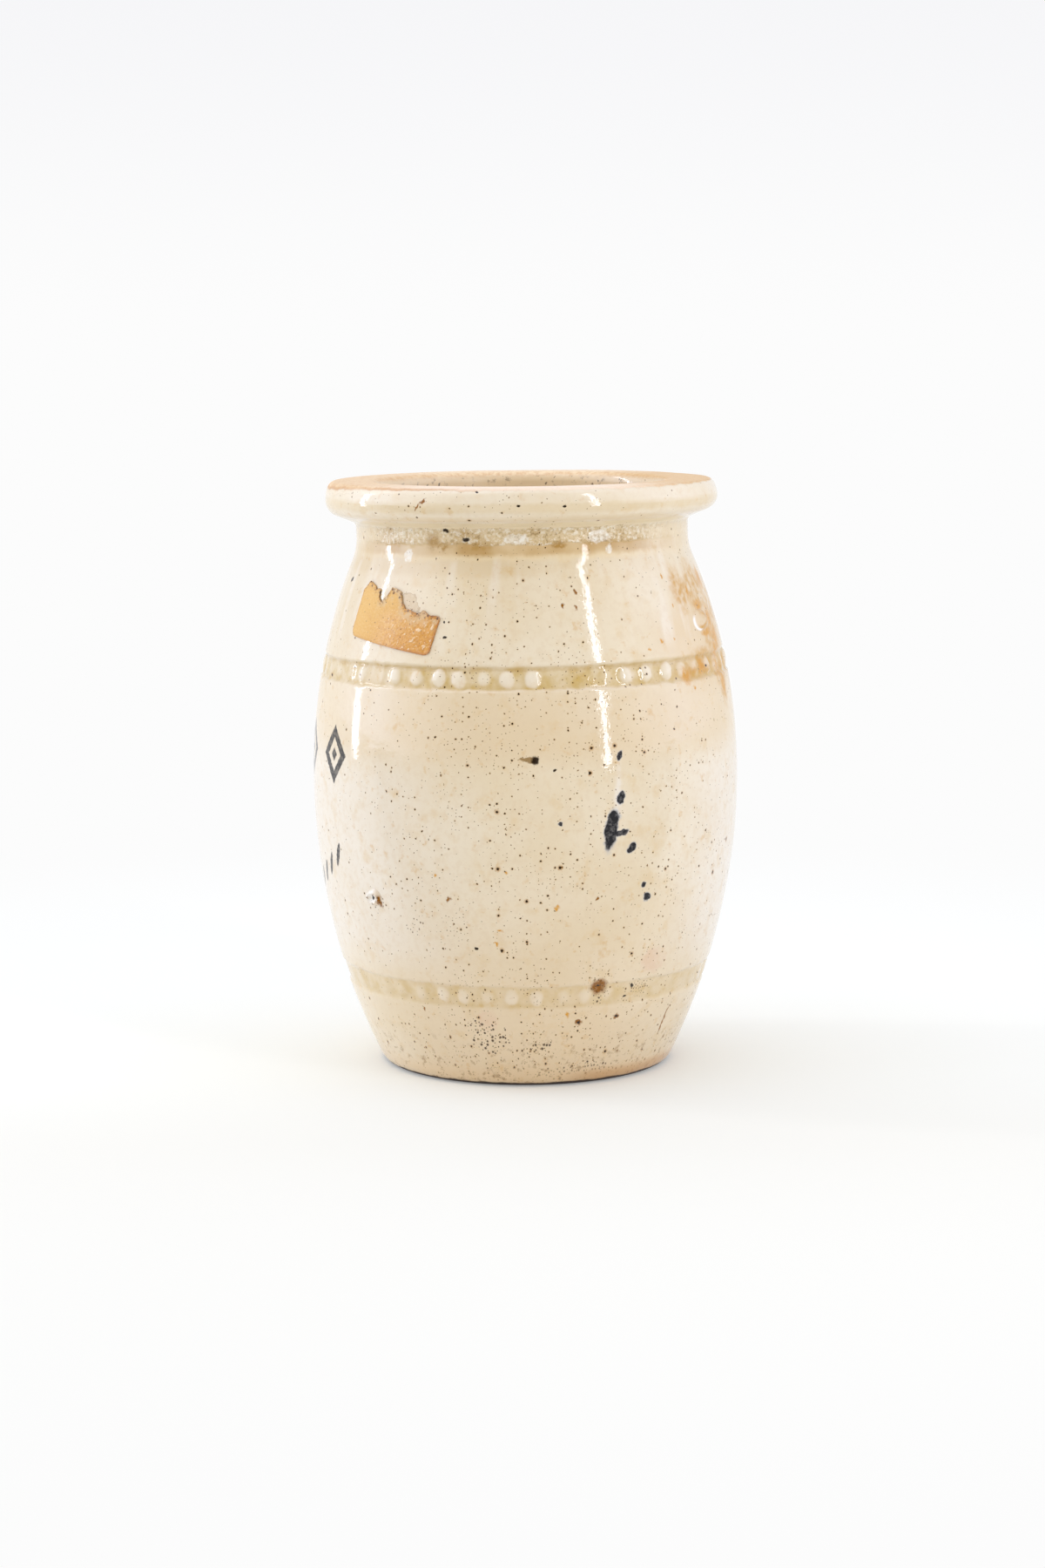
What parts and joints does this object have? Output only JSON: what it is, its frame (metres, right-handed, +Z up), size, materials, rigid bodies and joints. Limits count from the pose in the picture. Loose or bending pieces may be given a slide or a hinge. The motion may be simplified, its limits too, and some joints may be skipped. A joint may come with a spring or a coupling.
{
  "type": "stoneware pot",
  "caption": "Small barrel-shaped stoneware pot for caviar, with a rolled rim, a tying groove under it, beaded bands round the shoulder and foot, and a torn paper label.",
  "frame": {"origin": "centre of the ring that the pot stands on, in the plane of the surface under it", "axes": "+Z up along the pot's axis; -Y is the front, with the label on the front left"},
  "size_m": [0.0618, 0.0618, 0.085],
  "materials": {
    "stoneware": "glossy cream salt glaze with dark iron specks over tan stoneware, bare orange-brown clay on the lip and foot",
    "label_paper": "aged orange-tan gummed paper, torn along the top"
  },
  "bodies": {
    "root": {"pot_body": "stoneware", "paper_label": "label_paper"}
  },
  "joints": []
}
